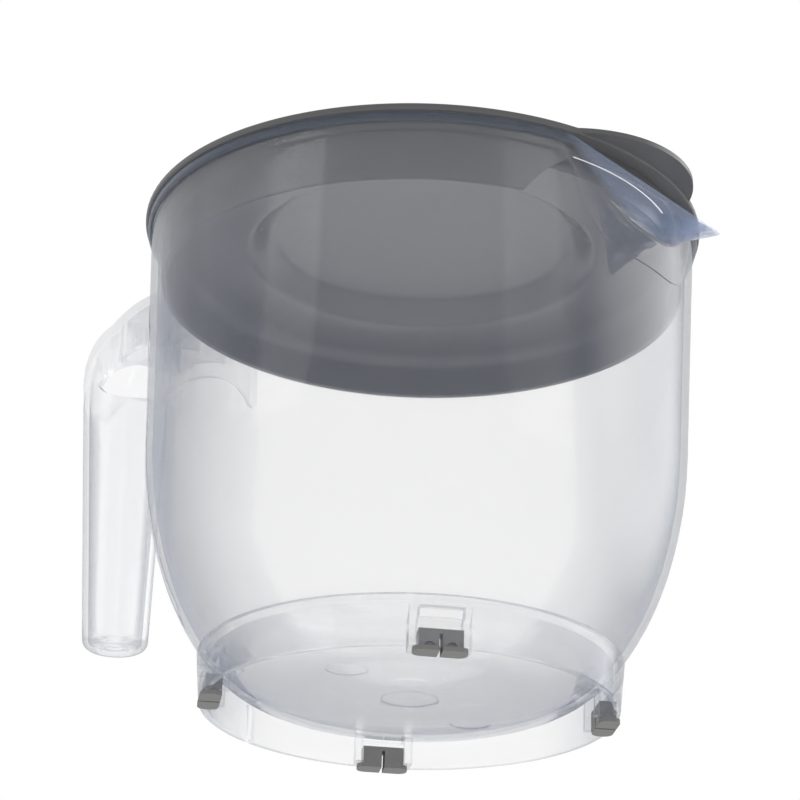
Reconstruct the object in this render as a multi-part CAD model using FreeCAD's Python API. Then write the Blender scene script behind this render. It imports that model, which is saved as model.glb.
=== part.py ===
import FreeCAD, Part
import math
import os

# Two-litre mixing jug with a drop-on lid and four rubber feet, in millimetres.
# The origin is on the jug's axis, on the plane that the feet stand on.
# +Z is up, +X points to the spout and -X to the handle.

Vec = FreeCAD.Vector
UP = Vec(0, 0, 1)
ORIGIN = Vec(0, 0, 0)

# Heights of the bowl, counted from the standing plane
FOOT_PROUD = 1.3
BASE_Z = 4.3
HEEL_Z = 15.8
KNEE_Z = 41.3
SIDE_Z = 79.3
RIM_Z = 152.3

# Bowl: the outer wall leans out to RIM_R at the rim, and two large arcs and a small one close it below
RIM_R = 83.0
SIDE_LEAN = 2.2
SIDE_ARC = 130.0
KNEE_ARC = 86.0
WALL = 2.2

# Rolled bead under the rim
BEAD_PROUD = 1.2
BEAD_HEIGHT = 3.0
BEAD_ROUND = 0.8

# Foot ring, a skirt round the bowl's underside
RING_PROUD = 2.1
RING_TAPER = 1.2
RING_WALL = 2.2
RING_TOP_Z = 15.9
RING_ROUND = 0.5

# Drain notch in the foot ring, under the handle
NOTCH_WIDTH_BOTTOM = 2.0
NOTCH_WIDTH_TOP = 0.8
NOTCH_TOP_Z = 13.0

# Round marks that the mould leaves under the base: the gate recess and two ejector pins
GATE_R = 8.4
GATE_DEPTH = 0.6
EJECTOR_R = 6.0
EJECTOR_DEPTH = 0.35
EJECTOR_PLACES = ((32.6, -86.0), (27.7, 86.5))

# Pockets for the rubber feet, in the foot ring
FOOT_COUNT = 4
FOOT_START_DEG = 45.0
POCKET_WIDTH = 12.6
POCKET_CHEEK = 2.4
POCKET_DEPTH = 8.0
POCKET_COVER = 1.2
WINDOW_TOP_Z = 12.5
BAR_BOTTOM_Z = 6.6
BAR_HEIGHT = 2.6
BAR_DEPTH = 3.4

# Rubber feet
FOOT_CLEARANCE = 0.1
FOOT_DEPTH = 6.2
PAD_WIDTH = 15.4
PAD_ROUND = 2.6
FOOT_SLIT = 0.9
SLIT_TOP_Z = 5.2
DIMPLE_R = 1.5
DIMPLE_DEPTH = 0.6

# Spout: a scoop that tapers and droops to its tip, trimmed straight from the rim down to it
SPOUT_HALF_WIDTH = 34.2
SPOUT_REACH = 22.2
SPOUT_TIP_BLUNT = 2.0
SPOUT_DROP = 27.0
SPOUT_DEPTH = 18.7
SPOUT_POWER = 2.6
SPOUT_SPREAD = 1.12
SPOUT_WALL = 2.0
SPOUT_BLEND = 1.2

# Raised field round the spout, where the mould has an insert
FIELD_DEPTH = 30.3
FIELD_POWER = 4.6
FIELD_PROUD = 0.25

# Handle: a tapered hollow grip hanging from a ribbed bridge
GRIP_REACH = 36.3
GRIP_LEAN = 2.2
GRIP_TOP_R = 13.7
GRIP_BOTTOM_R = 10.3
GRIP_BOTTOM_Z = 40.6
GRIP_WALL = 2.0
GRIP_BOTTOM_ROUND = 3.0
DRAIN_R = 2.9
DRAIN_RECESS_R = 4.4
DRAIN_RECESS_DEPTH = 0.8
BRIDGE_TOP_Z = 152.2
BRIDGE_BEND_LENGTH = 37.0
BRIDGE_BEND_HEIGHT = 38.0
BRIDGE_PLATE = 2.0
BRIDGE_ROOT_HALF = 19.4
BRIDGE_TIP_HALF = 13.2
WEB = 1.9
RIB_OFFSET = 6.3
CROSS_RIB = 2.0
CROSS_RIB_REACH = 10.0
MOUTH_Z = 122.3
WEB_ROOT_Z = 121.5
WEB_CROWN_Z = 135.6
WEB_TIP_Z = 126.7
RIB_ROOT_Z = 131.8
RIB_CROWN_Z = 136.2
RIB_TIP_Z = 131.0

# Lid: flange, plug skirt, ring-shaped channel and raised centre, dropped in slightly turned
LID_OVERHANG = 0.8
LID_TURN_DEG = -2.5
LID_EDGE = 2.0
LID_WALL = 1.8
SKIRT_TOP_GAP = 0.6
SKIRT_BOTTOM_GAP = 1.0
SKIRT_DEPTH = 19.2
CHANNEL_DEPTH = 5.2
CHANNEL_WIDTH = 31.2
CENTRE_RISE = 6.3
CENTRE_SLOPE = 6.5
SKIRT_CORNER = 5.0
CENTRE_CORNER = 3.5
EDGE_ROUND = 0.6

# Thumb tab of the lid over the spout, and the arch in the skirt that lets the jug pour
TAB_R = 35.8
TAB_REACH = 8.1
TAB_THICK = 1.5
ARCH_R = 45.7
ARCH_CROWN_Z = 154.8

# Radii and places that follow from the sizes above
SIDE_R = RIM_R - SIDE_LEAN
BEAD_R = RIM_R + BEAD_PROUD
LID_R = BEAD_R + LID_OVERHANG
GRIP_TOP_X = -RIM_R - GRIP_REACH
GRIP_BOTTOM_X = GRIP_TOP_X + GRIP_LEAN
SPOUT_APEX_X = RIM_R + SPOUT_REACH + SPOUT_TIP_BLUNT
SPOUT_APEX_Z = RIM_Z - SPOUT_DROP


def face_in_xz(edges):
    return Part.Face(Part.Wire(edges))


def line(a, b):
    return Part.LineSegment(a, b).toShape()


def polygon_in_xz(points, y=0.0):
    corners = [Vec(x, y, z) for x, z in points]
    return Part.Face(Part.makePolygon(corners + corners[:1]))


def rounded_face(corners, place):
    """A closed outline of straight runs whose corners are rounded by their own radii.

    Each corner is (a, b, radius), and place turns (a, b) into a point in space.
    """
    count = len(corners)
    trims = []
    for i, (a, b, radius) in enumerate(corners):
        here = Vec(a, b, 0)
        before = Vec(corners[i - 1][0], corners[i - 1][1], 0)
        after = Vec(corners[(i + 1) % count][0], corners[(i + 1) % count][1], 0)
        if radius <= 0:
            trims.append((here, here, here))
            continue
        back = (before - here).normalize()
        ahead = (after - here).normalize()
        half = back.getAngle(ahead) / 2.0
        reach = radius / math.tan(half)
        centre = here + (back + ahead).normalize() * (radius / math.sin(half))
        middle = centre + (here - centre).normalize() * radius
        trims.append((here + back * reach, middle, here + ahead * reach))
    edges = []
    for i, (start, middle, end) in enumerate(trims):
        if (end - start).Length > 1e-6:
            points = [place(p.x, p.y) for p in (start, middle, end)]
            edges.append(Part.Arc(*points).toShape())
        following = trims[(i + 1) % count][0]
        if (following - end).Length > 1e-6:
            edges.append(line(place(end.x, end.y), place(following.x, following.y)))
    return Part.Face(Part.Wire(edges))


def in_xz(a, b):
    return Vec(a, 0, b)


def revolved(face):
    return face.revolve(ORIGIN, UP, 360)


def turned(shape, degrees):
    copy = shape.copy()
    copy.rotate(ORIGIN, UP, degrees)
    return copy


def centred_box(x0, x1, y_size, z0, z1):
    return Part.makeBox(x1 - x0, y_size, z1 - z0, Vec(x0, -y_size / 2.0, z0))


def bowl_turns():
    """Where the wall's slope stands at the start and end of each arc, and the arcs' radii."""
    lean = math.atan2(SIDE_LEAN, RIM_Z - SIDE_Z)
    knee_turn = math.asin(math.sin(lean) + (SIDE_Z - KNEE_Z) / SIDE_ARC)
    heel_turn = math.asin(math.sin(knee_turn) + (KNEE_Z - HEEL_Z) / KNEE_ARC)
    heel_arc = (HEEL_Z - BASE_Z) / (1.0 - math.sin(heel_turn))
    return (lean, knee_turn, heel_turn, math.pi / 2.0), (SIDE_ARC, KNEE_ARC, heel_arc)


def heel_radius():
    """Outer radius of the bowl where the foot ring meets it."""
    turns, radii = bowl_turns()
    return SIDE_R - sum(radii[i] * (math.cos(turns[i]) - math.cos(turns[i + 1])) for i in (0, 1))


def bowl_solid(inset):
    """The bowl filled to its rim, with its surface moved inwards by inset."""
    turns, radii = bowl_turns()
    lean = turns[0]
    start = Vec(RIM_R - inset / math.cos(lean), 0, RIM_Z)
    outer_start = Vec(SIDE_R, 0, SIDE_Z)
    inward = Vec(-math.cos(lean), 0, math.sin(lean))
    edges = [line(start, outer_start + inward * inset)]
    outer = outer_start
    for i, radius in enumerate(radii):
        first, last = turns[i], turns[i + 1]
        centre = outer + Vec(-math.cos(first), 0, math.sin(first)) * radius
        spokes = [Vec(math.cos(a), 0, -math.sin(a)) for a in (first, (first + last) / 2.0, last)]
        edges.append(Part.Arc(*[centre + s * (radius - inset) for s in spokes]).toShape())
        outer = centre + spokes[2] * radius
    floor_end = outer + Vec(0, 0, inset)
    bottom = Vec(0, 0, floor_end.z)
    top = Vec(0, 0, RIM_Z)
    edges += [line(floor_end, bottom), line(bottom, top), line(top, start)]
    return revolved(face_in_xz(edges))


def bowl_outer_radius(z):
    """Outer radius of the straight wall at height z."""
    return SIDE_R + SIDE_LEAN * (z - SIDE_Z) / (RIM_Z - SIDE_Z)


def ring_top_r():
    return heel_radius() + RING_PROUD


def ring_bottom_r():
    return ring_top_r() - RING_TAPER


def rim_bead():
    inside = bowl_outer_radius(RIM_Z - BEAD_HEIGHT) - WALL / 2.0
    low = RIM_Z - BEAD_HEIGHT
    outline = [(inside, low, 0), (BEAD_R, low, BEAD_ROUND), (BEAD_R, RIM_Z, BEAD_ROUND), (inside, RIM_Z, 0)]
    return revolved(rounded_face(outline, in_xz))


def foot_ring():
    low = FOOT_PROUD
    bottom, top = ring_bottom_r(), ring_top_r()
    inner = bottom - RING_WALL
    outline = [(inner, low, RING_ROUND), (bottom, low, RING_ROUND),
               (top, RING_TOP_Z, RING_ROUND), (inner, RING_TOP_Z, 0)]
    ring = revolved(rounded_face(outline, in_xz))
    window = centred_box(bottom - POCKET_DEPTH, top + 1.0, POCKET_WIDTH, BAR_BOTTOM_Z + BAR_HEIGHT, WINDOW_TOP_Z)
    room = centred_box(bottom - POCKET_DEPTH, bottom - POCKET_COVER, POCKET_WIDTH, 0, BAR_BOTTOM_Z + 0.1)
    half_bottom, half_top = NOTCH_WIDTH_BOTTOM / 2.0, NOTCH_WIDTH_TOP / 2.0
    corners = [Vec(0, -half_bottom, 0), Vec(0, half_bottom, 0), Vec(0, half_top, NOTCH_TOP_Z),
               Vec(0, -half_top, NOTCH_TOP_Z), Vec(0, -half_bottom, 0)]
    notch = Part.Face(Part.makePolygon(corners)).extrude(Vec(-top - 1.0, 0, 0))
    ring = ring.cut(notch)
    for angle in foot_angles():
        ring = ring.cut(turned(window, angle)).cut(turned(room, angle))
    return ring


def foot_angles():
    return [FOOT_START_DEG + i * 360.0 / FOOT_COUNT for i in range(FOOT_COUNT)]


def foot_pocket():
    """Two cheeks and a cross bar that hold one rubber foot, built on the +X side."""
    outer = ring_bottom_r()
    inner = outer - POCKET_DEPTH
    cheek = Part.makeBox(POCKET_DEPTH - RING_WALL / 2.0, POCKET_CHEEK, HEEL_Z - FOOT_PROUD,
                         Vec(inner, POCKET_WIDTH / 2.0, FOOT_PROUD))
    other = cheek.mirror(ORIGIN, Vec(0, 1, 0))
    bar = centred_box(outer - BAR_DEPTH, outer - 0.2, POCKET_WIDTH + POCKET_CHEEK,
                      BAR_BOTTOM_Z, BAR_BOTTOM_Z + BAR_HEIGHT)
    return [cheek, other, bar]


def spout_root_x():
    return math.sqrt(BEAD_R ** 2 - SPOUT_HALF_WIDTH ** 2)


def u_outline(x, half, low, depth, power):
    """Closed U-shaped outline at x, which passes a depth above low at a half width from the middle."""
    count = 12
    points = []
    for i in range(count + 1):
        side = SPOUT_SPREAD * (2.0 * i / count - 1.0)
        points.append(Vec(x, half * side, low + depth * abs(side) ** power))
    curve = Part.BSplineCurve()
    curve.interpolate(points)
    return Part.Wire([curve.toShape(), line(points[-1], points[0])])


def spout_section(x, inset, seen_x):
    """Outline of the scoop at x, with the size that its taper has at seen_x."""
    share = (SPOUT_APEX_X - seen_x) / (SPOUT_APEX_X - spout_root_x())
    keel = SPOUT_APEX_Z + (SPOUT_DROP - SPOUT_DEPTH) * share + inset
    return u_outline(x, SPOUT_HALF_WIDTH * share - inset, keel, SPOUT_DEPTH * share - inset, SPOUT_POWER)


def spout_taper(inset, x0, x1):
    ends = [spout_section(x, inset, x) for x in (x0, x1)]
    return Part.makeLoft(ends, True, True)


def spout_opening():
    """The hollow of the scoop and the gap that it leaves in the bowl's wall."""
    root = spout_root_x()
    last = SPOUT_APEX_X - 0.15 * (SPOUT_APEX_X - root)
    scoop = spout_taper(SPOUT_WALL, root, last)
    gap = Part.Face(spout_section(0.5 * root, SPOUT_WALL, root)).extrude(Vec(0.5 * root, 0, 0))
    return scoop.fuse(gap)


def spout_trim():
    """All that lies above the slanting plane from the rim to the spout's tip."""
    root = spout_root_x()
    slope = SPOUT_DROP / (SPOUT_APEX_X - root)
    far = SPOUT_APEX_X + 10.0
    high = RIM_Z + 20.0
    outline = [(root, RIM_Z), (root, high), (far, high), (far, RIM_Z - (far - root) * slope)]
    half = 1.4 * SPOUT_HALF_WIDTH
    return polygon_in_xz(outline, -half).extrude(Vec(0, 2 * half, 0))


def spout_field():
    """The slightly raised field of the wall that surrounds the spout."""
    root = spout_root_x()
    outline = u_outline(0.5 * root, SPOUT_HALF_WIDTH, RIM_Z - FIELD_DEPTH, FIELD_DEPTH, FIELD_POWER)
    prism = Part.Face(outline).extrude(Vec(SPOUT_APEX_X - 0.5 * root, 0, 0))
    return bowl_solid(-FIELD_PROUD).common(prism).common(centred_box(0, SPOUT_APEX_X, 4 * SPOUT_HALF_WIDTH, 0, RIM_Z))


def grip_cone(inset, z0, z1):
    """The tapered grip between two heights, its surface moved inwards by inset."""
    low = Vec(GRIP_BOTTOM_X, 0, GRIP_BOTTOM_Z)
    lean = Vec(GRIP_TOP_X, 0, MOUTH_Z) - low
    widening = (GRIP_TOP_R - GRIP_BOTTOM_R) / lean.Length
    start = low - lean * 0.2
    length = lean.Length * 1.8
    start_r = GRIP_BOTTOM_R - 0.2 * lean.Length * widening - inset
    cone = Part.makeCone(start_r, start_r + length * widening, length, start, lean)
    return cone.common(centred_box(GRIP_TOP_X - 40.0, GRIP_TOP_X + 40.0, 80.0, z0, z1))


def handle_slab(inset):
    """All that lies under the handle's top plate and inside its bent back, moved inwards by inset."""
    back = GRIP_TOP_X - GRIP_TOP_R - 0.2 + inset
    top = BRIDGE_TOP_Z - inset
    length, height = BRIDGE_BEND_LENGTH - inset, BRIDGE_BEND_HEIGHT - inset
    half = 2.0 * BRIDGE_ROOT_HALF
    centre = Vec(back + length, -half, top - height)
    above, behind = centre + Vec(0, 0, height), centre + Vec(-length, 0, 0)
    bend = Part.ArcOfEllipse(Part.Ellipse(above, behind, centre), 0, math.pi / 2.0).toShape()
    corners = [behind, Vec(back, -half, 0), Vec(0, -half, 0), Vec(0, -half, top), above]
    face = Part.Face(Part.Wire([bend] + [line(a, b) for a, b in zip(corners, corners[1:])]))
    return face.extrude(Vec(0, 2 * half, 0))


def bridge_plan(inset):
    """The bridge seen from above, wide at the bowl and as wide as the grip at its far end."""
    root_x = 10.0 - RIM_R
    root, tip = BRIDGE_ROOT_HALF - inset, BRIDGE_TIP_HALF - inset
    points = [(root_x, -root), (root_x, root), (GRIP_TOP_X, tip), (GRIP_TOP_X, -tip)]
    corners = [Vec(x, y, WEB_ROOT_Z - 2.0) for x, y in points]
    face = Part.Face(Part.makePolygon(corners + corners[:1]))
    return face.extrude(Vec(0, 0, RIM_Z - WEB_ROOT_Z + 2.0))


def arch_below(root_z, crown_z, tip_z, tip_x, y0, y1):
    """All that lies under an arched lower edge, between two planes across the handle."""
    root_x = -bowl_outer_radius(root_z) + 0.6
    crown_x = (root_x + tip_x) / 2.0
    curve = Part.Arc(Vec(root_x, y0, root_z), Vec(crown_x, y0, crown_z), Vec(tip_x, y0, tip_z)).toShape()
    low = GRIP_BOTTOM_Z - 1.0
    corners = [Vec(tip_x, y0, tip_z), Vec(tip_x, y0, low), Vec(0, y0, low), Vec(0, y0, root_z),
               Vec(root_x, y0, root_z)]
    face = Part.Face(Part.Wire([curve] + [line(a, b) for a, b in zip(corners, corners[1:])]))
    return face.extrude(Vec(0, y1 - y0, 0))


def grip_side_x():
    """Jug side of the grip at its rim."""
    return GRIP_TOP_X + GRIP_TOP_R


def handle_bridge():
    """Top plate, two side webs, two inner ribs and a cross rib, with arched lower edges."""
    outer = bridge_plan(0).common(handle_slab(0))
    room = bridge_plan(WEB).common(handle_slab(BRIDGE_PLATE))
    end = GRIP_TOP_X + CROSS_RIB_REACH
    for side in (-1, 1):
        rib = Part.makeBox(RIM_R + 40.0, WEB, RIM_Z, Vec(-RIM_R - 40.0, side * RIB_OFFSET - WEB / 2.0, 0))
        room = room.cut(rib)
    cross = centred_box(end - CROSS_RIB, end, 4 * BRIDGE_ROOT_HALF, 0, RIM_Z)
    room = room.cut(cross)
    bridge = outer.cut(room)
    rib_half = RIB_OFFSET + WEB / 2.0
    wide = 2.0 * BRIDGE_ROOT_HALF
    for y0, y1 in ((-wide, -rib_half), (rib_half, wide)):
        bridge = bridge.cut(arch_below(WEB_ROOT_Z, WEB_CROWN_Z, WEB_TIP_Z, GRIP_TOP_X, y0, y1))
    return bridge.cut(arch_below(RIB_ROOT_Z, RIB_CROWN_Z, RIB_TIP_Z, end, -rib_half, rib_half))


def grip_shell():
    """The hollow grip, open to the bridge at its top and closed round a drain hole below."""
    outer = grip_cone(0, GRIP_BOTTOM_Z, RIM_Z).common(handle_slab(0))
    rims = [e for e in outer.Edges if abs(e.CenterOfMass.z - GRIP_BOTTOM_Z) < 1e-3]
    outer = outer.makeFillet(GRIP_BOTTOM_ROUND, rims)
    inner = grip_cone(GRIP_WALL, GRIP_BOTTOM_Z + GRIP_WALL, RIM_Z).common(handle_slab(BRIDGE_PLATE))
    drain = Part.makeCylinder(DRAIN_R, 3 * GRIP_WALL, Vec(GRIP_BOTTOM_X, 0, GRIP_BOTTOM_Z - GRIP_WALL))
    recess = Part.makeCylinder(DRAIN_RECESS_R, 2 * DRAIN_RECESS_DEPTH,
                               Vec(GRIP_BOTTOM_X, 0, GRIP_BOTTOM_Z - DRAIN_RECESS_DEPTH))
    return outer, inner, [drain, recess]


def side_windows():
    """The gap between the grip's dipping rim and the arched webs, right through from side to side."""
    end = grip_side_x() + 1.0
    wide = 2.0 * BRIDGE_ROOT_HALF
    arch = arch_below(WEB_ROOT_Z, WEB_CROWN_Z, WEB_TIP_Z, GRIP_TOP_X, -wide, wide)
    first, last = Vec(GRIP_TOP_X, -wide, WEB_TIP_Z), Vec(end, -wide, MOUTH_Z + 1.0)
    dip = Part.Arc(first, Vec(GRIP_TOP_X + 0.5 * GRIP_TOP_R, -wide, MOUTH_Z), last).toShape()
    corners = [last, Vec(end, -wide, RIM_Z), Vec(GRIP_TOP_X, -wide, RIM_Z), first]
    above = Part.Face(Part.Wire([dip] + [line(a, b) for a, b in zip(corners, corners[1:])]))
    return arch.common(above.extrude(Vec(0, 2 * wide, 0)))


def handle():
    outer, inner, holes = grip_shell()
    shape = handle_bridge().fuse(outer)
    shape = shape.cut(inner)
    for cut in [side_windows()] + holes:
        shape = shape.cut(cut)
    return shape


def blend_spout(solid):
    """Rounds the inside corner where the spout's channel leaves the bowl."""
    seam = []
    for edge in solid.Edges:
        box = edge.BoundBox
        on_wall = box.XMin > 0.5 * SIDE_R and box.XMax < BEAD_R and box.ZMin > SPOUT_APEX_Z
        if on_wall and box.YLength > 5.0 and box.ZLength > 5.0:
            seam.append(edge)
    return solid.makeFillet(SPOUT_BLEND, seam)


def base_marks():
    marks = [Part.makeCylinder(GATE_R, GATE_DEPTH, Vec(0, 0, BASE_Z))]
    for radius, degrees in EJECTOR_PLACES:
        pin = Part.makeCylinder(EJECTOR_R, EJECTOR_DEPTH, Vec(radius, 0, BASE_Z))
        marks.append(turned(pin, degrees))
    return marks


def jug_body():
    outer = bowl_solid(0).fuse(spout_field())
    spout = spout_taper(0, spout_root_x() - 3.0, SPOUT_APEX_X - SPOUT_TIP_BLUNT)
    low_rim = centred_box(0, SPOUT_APEX_X, 4 * SPOUT_HALF_WIDTH, 0, RIM_Z)
    outer = outer.fuse(spout.common(low_rim))
    outer = blend_spout(outer)
    shape = outer.fuse([rim_bead(), foot_ring(), handle()])
    for angle in foot_angles():
        for piece in foot_pocket():
            shape = shape.fuse(turned(piece, angle))
    shape = shape.cut(bowl_solid(WALL))
    shape = shape.cut(spout_opening())
    shape = shape.cut(spout_trim())
    for mark in base_marks():
        shape = shape.cut(mark)
    return shape.removeSplitter()


def lid():
    seat = RIM_Z
    skirt_low = seat - SKIRT_DEPTH
    out_top = bowl_outer_radius(seat) - WALL - SKIRT_TOP_GAP
    out_low = bowl_outer_radius(skirt_low) - WALL - SKIRT_BOTTOM_GAP
    floor = seat - CHANNEL_DEPTH
    centre = floor + CENTRE_RISE
    top = seat + LID_EDGE
    skirt_in = out_low - LID_WALL
    wall_in = out_top - LID_WALL
    centre_r = skirt_in - CHANNEL_WIDTH
    slope_end = centre_r + CENTRE_SLOPE
    step = 0.65 * LID_WALL
    outline = [
        (0, centre, 0), (centre_r, centre, CENTRE_CORNER), (slope_end, floor, CENTRE_CORNER),
        (skirt_in, floor, SKIRT_CORNER), (skirt_in, skirt_low, EDGE_ROUND),
        (out_low, skirt_low, EDGE_ROUND), (out_top, seat, 0), (LID_R, seat, EDGE_ROUND),
        (LID_R, top, EDGE_ROUND), (wall_in, top, EDGE_ROUND), (wall_in, floor + LID_WALL, EDGE_ROUND),
        (slope_end + step, floor + LID_WALL, CENTRE_CORNER),
        (centre_r + step, centre + LID_WALL, CENTRE_CORNER), (0, centre + LID_WALL, 0)]
    shape = revolved(rounded_face(outline, in_xz))
    tab = Part.makeCylinder(TAB_R, TAB_THICK, Vec(LID_R + TAB_REACH - TAB_R, 0, top - TAB_THICK))
    tab = tab.cut(Part.makeCylinder(LID_R - 2.0, 4 * LID_EDGE, Vec(0, 0, seat - LID_EDGE)))
    arch = Part.makeCylinder(ARCH_R, LID_R, Vec(LID_R / 2.0, 0, ARCH_CROWN_Z - ARCH_R), Vec(1, 0, 0))
    cut_top = floor + LID_WALL
    band = Part.makeCylinder(LID_R, cut_top - skirt_low + 2.0, Vec(0, 0, skirt_low - 2.0))
    band = band.cut(Part.makeCylinder(skirt_in - 0.1, LID_R, Vec(0, 0, skirt_low - LID_R / 2.0)))
    shape = shape.fuse(tab)
    return turned(shape.cut(arch.common(band)).removeSplitter(), LID_TURN_DEG)


def rubber_foot():
    """One foot on the +X side: a split block in its pocket over a wider pad."""
    width = POCKET_WIDTH - 2 * FOOT_CLEARANCE
    outer = ring_bottom_r()
    inner = outer - FOOT_DEPTH
    face = outer - POCKET_COVER - FOOT_CLEARANCE
    block = centred_box(inner, face, width, 0.5 * FOOT_PROUD, BAR_BOTTOM_Z - FOOT_CLEARANCE)
    half = PAD_WIDTH / 2.0
    corners = [(inner, -half, PAD_ROUND), (outer, -half, PAD_ROUND),
               (outer, half, PAD_ROUND), (inner, half, PAD_ROUND)]
    pad = rounded_face(corners, lambda a, b: Vec(a, b, 0)).extrude(Vec(0, 0, FOOT_PROUD))
    shape = block.fuse(pad)
    shape = shape.cut(centred_box(inner - 1.0, outer + 1.0, FOOT_SLIT, -1.0, SLIT_TOP_Z))
    for side in (-1, 1):
        place = Vec(face - DIMPLE_DEPTH, side * width / 4.0, FOOT_PROUD + 0.1)
        dimple = Part.makeCylinder(DIMPLE_R, 3.0, place, Vec(1, 0, 0))
        dimple = dimple.common(centred_box(0, 2 * outer, PAD_WIDTH, FOOT_PROUD + 0.1, BAR_BOTTOM_Z))
        shape = shape.cut(dimple)
    return shape.removeSplitter()


FOOT_NAMES = ("front_left_foot", "rear_left_foot", "rear_right_foot", "front_right_foot")


def main():
    os.makedirs("parts", exist_ok=True)
    nodes = {"jug_body": jug_body(), "lid": lid()}
    foot = rubber_foot()
    for name, angle in zip(FOOT_NAMES, foot_angles()):
        nodes[name] = turned(foot, angle)
    for name, shape in nodes.items():
        solid = shape.Solids[0] if len(shape.Solids) == 1 else shape
        box = solid.BoundBox
        print(name, "solids", len(shape.Solids), "valid", solid.isValid(), "volume", round(solid.Volume, 1),
              "x %.1f..%.1f y %.1f..%.1f z %.1f..%.1f" % (box.XMin, box.XMax, box.YMin, box.YMax, box.ZMin, box.ZMax))
        solid.exportStep("parts/" + name + ".step")


main()
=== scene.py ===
import math
import bpy
from mathutils import Matrix, Vector


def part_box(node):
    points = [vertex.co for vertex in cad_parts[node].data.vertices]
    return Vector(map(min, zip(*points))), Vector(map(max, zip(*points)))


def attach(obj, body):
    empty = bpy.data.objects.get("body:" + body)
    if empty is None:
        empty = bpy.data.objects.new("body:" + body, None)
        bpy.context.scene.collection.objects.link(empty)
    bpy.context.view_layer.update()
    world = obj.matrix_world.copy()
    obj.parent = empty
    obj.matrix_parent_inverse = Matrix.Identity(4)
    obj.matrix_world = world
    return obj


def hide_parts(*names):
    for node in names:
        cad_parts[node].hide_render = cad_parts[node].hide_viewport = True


bl_info = {
    "name": "Mixing Jug",
    "version": (1, 0, 0),
    "blender": (4, 5, 0),
    "location": "View3D > Sidebar > Mixing Jug",
    "description": "Dresses the mixing jug: clear walls, dark lid, rubber feet and studio",
    "category": "Add Mesh",
}

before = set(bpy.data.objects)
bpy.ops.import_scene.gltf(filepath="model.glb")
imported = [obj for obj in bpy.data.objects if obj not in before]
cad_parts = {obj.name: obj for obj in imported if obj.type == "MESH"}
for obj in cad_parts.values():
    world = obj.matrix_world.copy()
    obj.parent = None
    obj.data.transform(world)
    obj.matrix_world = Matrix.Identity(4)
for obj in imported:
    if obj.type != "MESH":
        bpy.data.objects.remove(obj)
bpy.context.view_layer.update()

FOOT_NODES = ("front_left_foot", "rear_left_foot", "rear_right_foot", "front_right_foot")

# The bowl's radius just outside its wall at the rim, from the lid's edge that stands out past it
LID_PAST_WALL = 0.0018
WALL_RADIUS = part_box("lid")[1].y - LID_PAST_WALL
LIP_FADE = 0.0008

# Where the lip's whiter tone fades out towards the handle, along X
HANDLE_FADE_START = -0.082
HANDLE_FADE_END = -0.078

# Share of light that each surface of the plastic lets through in a shadow
SHADOW_PASS = 0.95

# The floor lies this far under the pads, so that it touches nothing
FLOOR_SIZE = 8.0
FLOOR_GAP = 0.0002


# Settings that a user would change

class ClearPlasticSettings(bpy.types.PropertyGroup):
    """The clear, slightly milky moulded plastic of bowl, spout, foot ring and handle."""
    tint: bpy.props.FloatVectorProperty(
        name="Tint", description="Colour that light takes on at each surface",
        subtype="COLOR", size=3, min=0.0, max=1.0, default=(0.999, 0.996, 0.99))
    haze_colour: bpy.props.FloatVectorProperty(
        name="Haze colour", description="Colour of the light that the plastic scatters",
        subtype="COLOR", size=3, min=0.0, max=1.0, default=(0.5, 0.64, 0.98))
    haze: bpy.props.FloatProperty(
        name="Haze", description="Share of light that each surface scatters, seen straight on",
        default=0.025, min=0.0, max=1.0, subtype="FACTOR")
    edge_haze: bpy.props.FloatProperty(
        name="Edge haze", description="Share of light that each surface scatters, seen on edge",
        default=0.05, min=0.0, max=1.0, subtype="FACTOR")
    lip_haze: bpy.props.FloatProperty(
        name="Lip haze", description="More haze in the rolled rim and the spout",
        default=0.09, min=0.0, max=1.0, subtype="FACTOR")
    milkiness: bpy.props.FloatProperty(
        name="Milkiness", description="How fast thick plastic scatters light",
        default=6.0, min=0.0)
    depth_colour: bpy.props.FloatVectorProperty(
        name="Depth colour", description="Colour that light keeps inside thick plastic",
        subtype="COLOR", size=3, min=0.0, max=1.0, default=(0.62, 0.63, 0.64))
    depth_density: bpy.props.FloatProperty(
        name="Depth density", description="How fast thick plastic takes on its depth colour",
        default=9.0, min=0.0)
    roughness: bpy.props.FloatProperty(
        name="Roughness", description="Softness of the reflections",
        default=0.07, min=0.0, max=1.0, subtype="FACTOR")
    refraction: bpy.props.FloatProperty(
        name="Refraction", description="Index of refraction", default=1.49, min=1.0, max=2.5)
    bending: bpy.props.FloatProperty(
        name="Bending", description="Share of light that the plastic bends, seen straight on",
        default=0.12, min=0.0, max=1.0, subtype="FACTOR")
    edge_bending: bpy.props.FloatProperty(
        name="Edge bending", description="Share of light that the plastic bends, seen on edge",
        default=0.45, min=0.0, max=1.0, subtype="FACTOR")


class LidSettings(bpy.types.PropertyGroup):
    """The dark grey plastic of the lid."""
    colour: bpy.props.FloatVectorProperty(
        name="Colour", description="Colour of the lid", subtype="COLOR", size=3,
        min=0.0, max=1.0, default=(0.1, 0.1, 0.103))
    roughness: bpy.props.FloatProperty(
        name="Roughness", description="Softness of the sheen",
        default=0.26, min=0.0, max=1.0, subtype="FACTOR")
    grain: bpy.props.FloatProperty(
        name="Grain", description="Size of the moulded grain", default=0.0004, unit="LENGTH")


class FootSettings(bpy.types.PropertyGroup):
    """The grey rubber of the feet."""
    colour: bpy.props.FloatVectorProperty(
        name="Colour", description="Colour of the rubber", subtype="COLOR", size=3,
        min=0.0, max=1.0, default=(0.2, 0.2, 0.196))
    roughness: bpy.props.FloatProperty(
        name="Roughness", description="Softness of the sheen",
        default=0.7, min=0.0, max=1.0, subtype="FACTOR")


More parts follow.
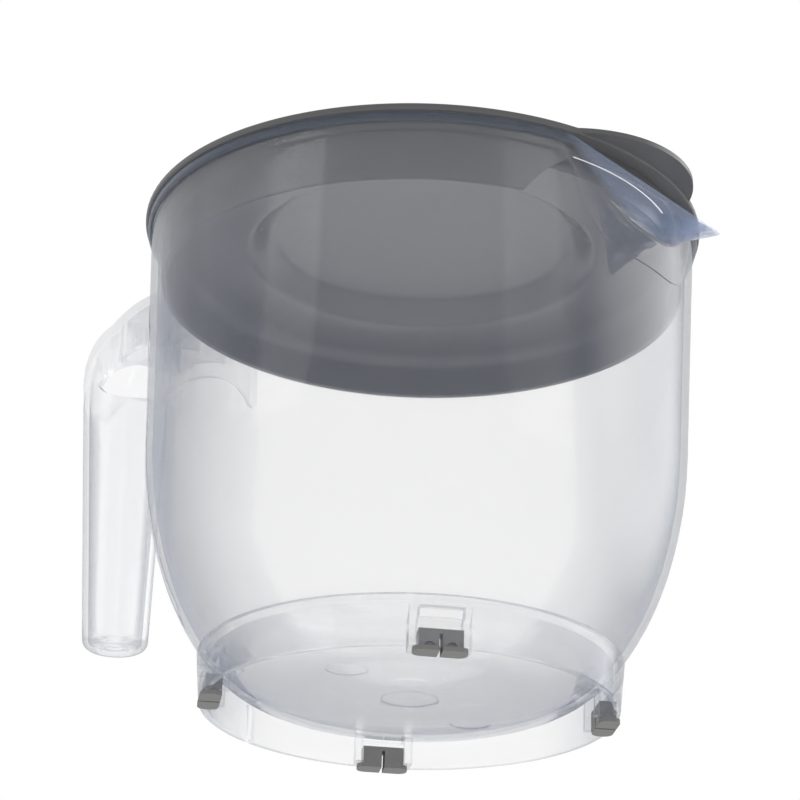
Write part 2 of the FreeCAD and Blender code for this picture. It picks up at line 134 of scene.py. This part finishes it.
class StageSettings(bpy.types.PropertyGroup):
    """The studio round the jug."""
    camera_place: bpy.props.FloatVectorProperty(
        name="Camera place", description="Where the camera stands", subtype="TRANSLATION",
        unit="LENGTH", size=3, default=(0.5142, -0.6789, -0.2623))
    camera_azimuth: bpy.props.FloatProperty(
        name="Camera azimuth", description="Direction that the camera looks in, from +Y",
        subtype="ANGLE", default=math.radians(37.5))
    camera_elevation: bpy.props.FloatProperty(
        name="Camera elevation", description="How far the camera looks up",
        subtype="ANGLE", default=0.401)
    camera_roll: bpy.props.FloatProperty(
        name="Camera roll", description="Turn about the line of sight",
        subtype="ANGLE", default=0.03)
    lens: bpy.props.FloatProperty(
        name="Lens", description="Focal length in millimetres", default=138.2, min=1.0)
    floor_colour: bpy.props.FloatVectorProperty(
        name="Floor colour", description="Colour of the floor", subtype="COLOR", size=3,
        min=0.0, max=1.0, default=(0.86, 0.86, 0.86))
    room_light: bpy.props.FloatProperty(
        name="Room light", description="Strength of the light from all round",
        default=0.95, min=0.0)
    window_side: bpy.props.FloatVectorProperty(
        name="Window side", description="Direction that the soft window light comes from",
        subtype="DIRECTION", size=3, default=(0.51, 0.76, 0.39))
    window_light: bpy.props.FloatProperty(
        name="Window light", description="Extra strength of the window light",
        default=1.6, min=0.0)


# Small helpers

def make_active(piece):
    """Leave this piece alone selected and active, in object mode."""
    if bpy.context.object and bpy.context.object.mode != "OBJECT":
        bpy.ops.object.mode_set(mode="OBJECT")
    bpy.ops.object.select_all(action="DESELECT")
    piece.select_set(True)
    bpy.context.view_layer.objects.active = piece


def merged_copy(node, name):
    """A copy of a CAD node with its loose triangles joined into closed, smooth surfaces."""
    piece = bpy.data.objects.new(name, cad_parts[node].data.copy())
    bpy.context.scene.collection.objects.link(piece)
    make_active(piece)
    piece.data.materials.clear()
    bpy.ops.mesh.customdata_custom_splitnormals_clear()
    bpy.ops.object.mode_set(mode="EDIT")
    bpy.ops.mesh.select_all(action="SELECT")
    bpy.ops.mesh.remove_doubles(threshold=0.000002)
    bpy.ops.object.mode_set(mode="OBJECT")
    bpy.ops.object.shade_smooth_by_angle(angle=math.radians(28))
    return piece


def new_material(name):
    """A node material with only its output left in it."""
    material = bpy.data.materials.new(name)
    material.use_nodes = True
    nodes = material.node_tree.nodes
    for node in list(nodes):
        nodes.remove(node)
    output = nodes.new("ShaderNodeOutputMaterial")
    return material, nodes, material.node_tree.links, output


def add_noise(nodes, links, scale, detail=2.0):
    """Noise on the piece's own coordinates, in features of 1/scale metres."""
    place = nodes.new("ShaderNodeTexCoord")
    noise = nodes.new("ShaderNodeTexNoise")
    noise.inputs["Scale"].default_value = scale
    noise.inputs["Detail"].default_value = detail
    links.new(place.outputs["Object"], noise.inputs["Vector"])
    return noise


def add_bump(nodes, links, noise, strength, distance):
    """Bump that follows a noise, up to a distance in metres."""
    bump = nodes.new("ShaderNodeBump")
    bump.inputs["Strength"].default_value = strength
    bump.inputs["Distance"].default_value = distance
    links.new(noise.outputs["Fac"], bump.inputs["Height"])
    return bump


def mixed(nodes, links, share, first, second):
    """Mix of two shaders' outputs; share is a number or a socket."""
    mix = nodes.new("ShaderNodeMixShader")
    if isinstance(share, float):
        mix.inputs["Fac"].default_value = share
    else:
        links.new(share, mix.inputs["Fac"])
    links.new(first, mix.inputs[1])
    links.new(second, mix.inputs[2])
    return mix.outputs["Shader"]


def larger(nodes, links, first, second):
    """The larger of two sockets' values."""
    either = nodes.new("ShaderNodeMath")
    either.operation = "MAXIMUM"
    links.new(first, either.inputs[0])
    links.new(second, either.inputs[1])
    return either.outputs["Value"]


def ranged(nodes, links, value, start, end, low, high):
    """A number that goes smoothly from low to high as a value goes from start to end."""
    span = nodes.new("ShaderNodeMapRange")
    span.interpolation_type = "SMOOTHSTEP"
    for key, number in (("From Min", start), ("From Max", end),
                        ("To Min", low), ("To Max", high)):
        span.inputs[key].default_value = number
    links.new(value, span.inputs["Value"])
    return span.outputs["Result"]


def outside_wall(nodes, links):
    """One on the rolled rim and the spout, nought on the wall and the handle."""
    place = nodes.new("ShaderNodeTexCoord")
    flat = nodes.new("ShaderNodeVectorMath")
    flat.operation = "MULTIPLY"
    flat.inputs[1].default_value = (1.0, 1.0, 0.0)
    links.new(place.outputs["Object"], flat.inputs[0])
    reach = nodes.new("ShaderNodeVectorMath")
    reach.operation = "LENGTH"
    links.new(flat.outputs["Vector"], reach.inputs[0])
    parts = nodes.new("ShaderNodeSeparateXYZ")
    links.new(place.outputs["Object"], parts.inputs["Vector"])
    beyond = ranged(nodes, links, reach.outputs["Value"],
                    start=WALL_RADIUS, end=WALL_RADIUS + LIP_FADE, low=0.0, high=1.0)
    ahead = ranged(nodes, links, parts.outputs["X"],
                   start=HANDLE_FADE_START, end=HANDLE_FADE_END, low=0.0, high=1.0)
    both = nodes.new("ShaderNodeMath")
    both.operation = "MULTIPLY"
    links.new(beyond, both.inputs[0])
    links.new(ahead, both.inputs[1])
    return both.outputs["Value"]


def clear_plastic():
    """Clear plastic with a faint waviness from the mould and a little blue haze.

    Most light goes straight through a thin shell that gleams on edge, and a share is bent as
    in solid plastic. Light that hits a surface from within is bent only where it was bent or
    reflected on its way in, or the far walls would mirror the room.
    """
    settings = bpy.context.scene.jug_plastic
    material, nodes, links, output = new_material("clear_plastic")
    clear = nodes.new("ShaderNodeBsdfPrincipled")
    clear.inputs["Base Color"].default_value = (*settings.tint, 1.0)
    clear.inputs["Roughness"].default_value = settings.roughness
    clear.inputs["IOR"].default_value = settings.refraction
    clear.inputs["Transmission Weight"].default_value = 1.0
    waves = add_noise(nodes, links, scale=55.0)
    bump = add_bump(nodes, links, waves, strength=0.12, distance=0.0002)
    links.new(bump.outputs["Normal"], clear.inputs["Normal"])
    straight = nodes.new("ShaderNodeBsdfTransparent")
    straight.inputs["Color"].default_value = (*settings.tint, 1.0)
    shine = nodes.new("ShaderNodeBsdfGlossy")
    shine.inputs["Roughness"].default_value = settings.roughness
    edge = nodes.new("ShaderNodeLayerWeight")
    edge.inputs["Blend"].default_value = 0.5
    gleam = ranged(nodes, links, edge.outputs["Facing"], start=0.2, end=1.0, low=0.03, high=0.4)
    shell = mixed(nodes, links, gleam, straight.outputs["BSDF"], shine.outputs["BSDF"])
    bent = ranged(nodes, links, edge.outputs["Facing"], start=0.45, end=1.0,
                  low=settings.bending, high=settings.edge_bending)
    light_path = nodes.new("ShaderNodeLightPath")
    side = nodes.new("ShaderNodeNewGeometry")
    inside_ray = larger(nodes, links, light_path.outputs["Is Transmission Ray"],
                        light_path.outputs["Is Glossy Ray"])
    share = nodes.new("ShaderNodeMix")
    links.new(side.outputs["Backfacing"], share.inputs["Factor"])
    links.new(bent, share.inputs["A"])
    links.new(inside_ray, share.inputs["B"])
    body = mixed(nodes, links, share.outputs["Result"], shell, clear.outputs["BSDF"])
    lit = nodes.new("ShaderNodeBsdfDiffuse")
    lit.inputs["Color"].default_value = (*settings.haze_colour, 1.0)
    glow = nodes.new("ShaderNodeBsdfTranslucent")
    glow.inputs["Color"].default_value = (*settings.haze_colour, 1.0)
    haze = mixed(nodes, links, 0.5, lit.outputs["BSDF"], glow.outputs["BSDF"])
    milky = ranged(nodes, links, edge.outputs["Facing"], start=0.5, end=1.0,
                   low=settings.haze, high=settings.edge_haze)
    lip = nodes.new("ShaderNodeMath")
    lip.operation = "MULTIPLY_ADD"
    links.new(outside_wall(nodes, links), lip.inputs[0])
    lip.inputs[1].default_value = settings.lip_haze
    links.new(milky, lip.inputs[2])
    hazy = mixed(nodes, links, lip.outputs["Value"], body, haze)
    see_through = nodes.new("ShaderNodeBsdfTransparent")
    see_through.inputs["Color"].default_value = (SHADOW_PASS, SHADOW_PASS, SHADOW_PASS, 1.0)
    surface = mixed(nodes, links, light_path.outputs["Is Shadow Ray"],
                    hazy, see_through.outputs["BSDF"])
    links.new(surface, output.inputs["Surface"])
    depth = nodes.new("ShaderNodeVolumeAbsorption")
    depth.inputs["Color"].default_value = (*settings.depth_colour, 1.0)
    depth.inputs["Density"].default_value = settings.depth_density
    milk = nodes.new("ShaderNodeVolumeScatter")
    milk.inputs["Color"].default_value = (*settings.haze_colour, 1.0)
    milk.inputs["Density"].default_value = settings.milkiness
    inside = nodes.new("ShaderNodeAddShader")
    links.new(depth.outputs["Volume"], inside.inputs[0])
    links.new(milk.outputs["Volume"], inside.inputs[1])
    links.new(inside.outputs["Shader"], output.inputs["Volume"])
    return material


def lid_plastic():
    """Dark satin plastic with a fine moulded grain."""
    settings = bpy.context.scene.jug_lid
    material, nodes, links, output = new_material("lid_plastic")
    shader = nodes.new("ShaderNodeBsdfPrincipled")
    shader.inputs["Base Color"].default_value = (*settings.colour, 1.0)
    shader.inputs["Roughness"].default_value = settings.roughness
    grain = add_noise(nodes, links, scale=1.0 / settings.grain, detail=3.0)
    bump = add_bump(nodes, links, grain, strength=0.05, distance=0.00006)
    links.new(bump.outputs["Normal"], shader.inputs["Normal"])
    links.new(shader.outputs["BSDF"], output.inputs["Surface"])
    return material


def foot_rubber():
    """Matt grey rubber, slightly mottled."""
    settings = bpy.context.scene.jug_feet
    material, nodes, links, output = new_material("foot_rubber")
    shader = nodes.new("ShaderNodeBsdfPrincipled")
    shader.inputs["Roughness"].default_value = settings.roughness
    mottle = add_noise(nodes, links, scale=900.0, detail=4.0)
    tone = nodes.new("ShaderNodeMix")
    tone.data_type = "RGBA"
    darker = tuple(0.85 * c for c in settings.colour)
    tone.inputs["A"].default_value = (*darker, 1.0)
    tone.inputs["B"].default_value = (*settings.colour, 1.0)
    links.new(mottle.outputs["Fac"], tone.inputs["Factor"])
    links.new(tone.outputs["Result"], shader.inputs["Base Color"])
    bump = add_bump(nodes, links, mottle, strength=0.2, distance=0.0001)
    links.new(bump.outputs["Normal"], shader.inputs["Normal"])
    links.new(shader.outputs["BSDF"], output.inputs["Surface"])
    return material


# Operators, one for each piece or group of like pieces

class JUG_OT_body(bpy.types.Operator):
    """Add the clear body with its spout, foot ring and handle"""
    bl_idname = "mixing_jug.body"
    bl_label = "Clear body"

    def execute(self, context):
        body = merged_copy("jug_body", "clear_body")
        body.data.materials.append(clear_plastic())
        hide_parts("jug_body")
        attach(body, "root")
        return {"FINISHED"}


class JUG_OT_lid(bpy.types.Operator):
    """Add the dark lid"""
    bl_idname = "mixing_jug.lid"
    bl_label = "Lid"

    def execute(self, context):
        lid = merged_copy("lid", "dark_lid")
        lid.data.materials.append(lid_plastic())
        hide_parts("lid")
        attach(lid, "root")
        return {"FINISHED"}


class JUG_OT_feet(bpy.types.Operator):
    """Add the four rubber feet"""
    bl_idname = "mixing_jug.feet"
    bl_label = "Rubber feet"

    def execute(self, context):
        rubber = foot_rubber()
        for node in FOOT_NODES:
            foot = merged_copy(node, node + "_rubber")
            foot.data.materials.append(rubber)
            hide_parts(node)
            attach(foot, "root")
        return {"FINISHED"}


def floor_material():
    """Pale floor with the jug's shadow on it, seen from above only, that lets light up."""
    settings = bpy.context.scene.jug_stage
    material, nodes, links, output = new_material("studio_floor")
    surface = nodes.new("ShaderNodeBsdfDiffuse")
    surface.inputs["Color"].default_value = (*settings.floor_colour, 1.0)
    clear = nodes.new("ShaderNodeBsdfTransparent")
    side = nodes.new("ShaderNodeNewGeometry")
    path = nodes.new("ShaderNodeLightPath")
    away = side.outputs["Backfacing"]
    for kind in ("Is Shadow Ray", "Is Diffuse Ray", "Is Glossy Ray"):
        away = larger(nodes, links, away, path.outputs[kind])
    links.new(mixed(nodes, links, away, surface.outputs["BSDF"], clear.outputs["BSDF"]),
              output.inputs["Surface"])
    return material


def facing(nodes, links, direction, towards, start, end, low, high):
    """A number that goes smoothly from low to high as a direction turns to face another."""
    dot = nodes.new("ShaderNodeVectorMath")
    dot.operation = "DOT_PRODUCT"
    links.new(direction, dot.inputs[0])
    dot.inputs[1].default_value = Vector(towards).normalized()
    return ranged(nodes, links, dot.outputs["Value"], start, end, low, high)


def build_world(context):
    """White for the camera and through plastic, and light from all round, more from below."""
    settings = context.scene.jug_stage
    world = bpy.data.worlds.new("studio_room")
    context.scene.world = world
    world.use_nodes = True
    nodes, links = world.node_tree.nodes, world.node_tree.links
    nodes.clear()
    output = nodes.new("ShaderNodeOutputWorld")
    place = nodes.new("ShaderNodeTexCoord")
    direction = place.outputs["Generated"]
    strength = settings.room_light
    below = facing(nodes, links, direction, (0, 0, -1), start=0.0, end=0.95,
                   low=0.72 * strength, high=1.15 * strength)
    window = facing(nodes, links, direction, settings.window_side, start=0.8, end=0.97,
                    low=0.0, high=settings.window_light)
    path = nodes.new("ShaderNodeLightPath")
    total = nodes.new("ShaderNodeMath")
    total.operation = "MULTIPLY_ADD"
    links.new(window, total.inputs[0])
    links.new(path.outputs["Is Glossy Ray"], total.inputs[1])
    links.new(below, total.inputs[2])
    room = nodes.new("ShaderNodeBackground")
    links.new(total.outputs["Value"], room.inputs["Strength"])
    seen = nodes.new("ShaderNodeBackground")
    seen.inputs["Strength"].default_value = 1.0
    for background in (room, seen):
        background.inputs["Color"].default_value = (1.0, 1.0, 1.0, 1.0)
    either = larger(nodes, links, path.outputs["Is Camera Ray"],
                    path.outputs["Is Transmission Ray"])
    links.new(mixed(nodes, links, either, room.outputs["Background"], seen.outputs["Background"]),
              output.inputs["Surface"])


def add_lamp(name, place, aim, size, power):
    """A square soft lamp that lights the jug but isn't seen in its reflections."""
    bpy.ops.object.light_add(type="AREA", location=place)
    lamp = bpy.context.object
    lamp.name = name
    lamp.data.shape = "RECTANGLE"
    lamp.data.size = lamp.data.size_y = size
    lamp.data.energy = power
    lamp.rotation_euler = (Vector(aim) - Vector(place)).to_track_quat("-Z", "Y").to_euler()
    lamp.visible_glossy = False


class JUG_OT_stage(bpy.types.Operator):
    """Add the floor, the lamps, the room and the camera"""
    bl_idname = "mixing_jug.stage"
    bl_label = "Studio"

    def execute(self, context):
        settings = context.scene.jug_stage
        bpy.ops.mesh.primitive_plane_add(size=FLOOR_SIZE, location=(0, 0, -FLOOR_GAP))
        floor = context.object
        floor.name = "studio_floor"
        floor.data.materials.append(floor_material())
        bpy.ops.object.transform_apply(location=True)
        build_world(context)
        middle = (0.0, 0.0, 0.08)
        add_lamp("key_lamp", place=(-1.3, -1.2, 1.5), aim=middle, size=1.6, power=16.0)
        add_lamp("fill_lamp", place=(1.7, 0.6, 1.2), aim=middle, size=1.6, power=9.0)
        bpy.ops.object.camera_add(location=settings.camera_place)
        camera = context.object
        camera.name = "photo_camera"
        turn = (Matrix.Rotation(settings.camera_azimuth, 4, "Z")
                @ Matrix.Rotation(math.pi / 2.0 + settings.camera_elevation, 4, "X")
                @ Matrix.Rotation(settings.camera_roll, 4, "Z"))
        camera.rotation_euler = turn.to_euler()
        camera.data.sensor_width = 36.0
        camera.data.lens = settings.lens
        camera.data.clip_start = 0.01
        context.scene.camera = camera
        context.scene.view_settings.view_transform = "Standard"
        context.scene.cycles.transparent_max_bounces = 32
        return {"FINISHED"}


class JUG_PT_panel(bpy.types.Panel):
    """Panel that lists every operator of the jug"""
    bl_label = "Mixing Jug"
    bl_idname = "JUG_PT_panel"
    bl_space_type = "VIEW_3D"
    bl_region_type = "UI"
    bl_category = "Mixing Jug"

    def draw(self, context):
        for operator in OPERATORS:
            self.layout.operator(operator.bl_idname)


SETTINGS = {
    "jug_plastic": ClearPlasticSettings,
    "jug_lid": LidSettings,
    "jug_feet": FootSettings,
    "jug_stage": StageSettings,
}
OPERATORS = (JUG_OT_body, JUG_OT_lid, JUG_OT_feet, JUG_OT_stage)


def register():
    for group in SETTINGS.values():
        bpy.utils.register_class(group)
    for name, group in SETTINGS.items():
        setattr(bpy.types.Scene, name, bpy.props.PointerProperty(type=group))
    for operator in OPERATORS:
        bpy.utils.register_class(operator)
    bpy.utils.register_class(JUG_PT_panel)


def unregister():
    bpy.utils.unregister_class(JUG_PT_panel)
    for operator in reversed(OPERATORS):
        bpy.utils.unregister_class(operator)
    for name, group in SETTINGS.items():
        delattr(bpy.types.Scene, name)
        bpy.utils.unregister_class(group)


def main():
    register()
    bpy.ops.mixing_jug.body()
    bpy.ops.mixing_jug.lid()
    bpy.ops.mixing_jug.feet()
    bpy.ops.mixing_jug.stage()


if __name__ == "__main__":
    main()
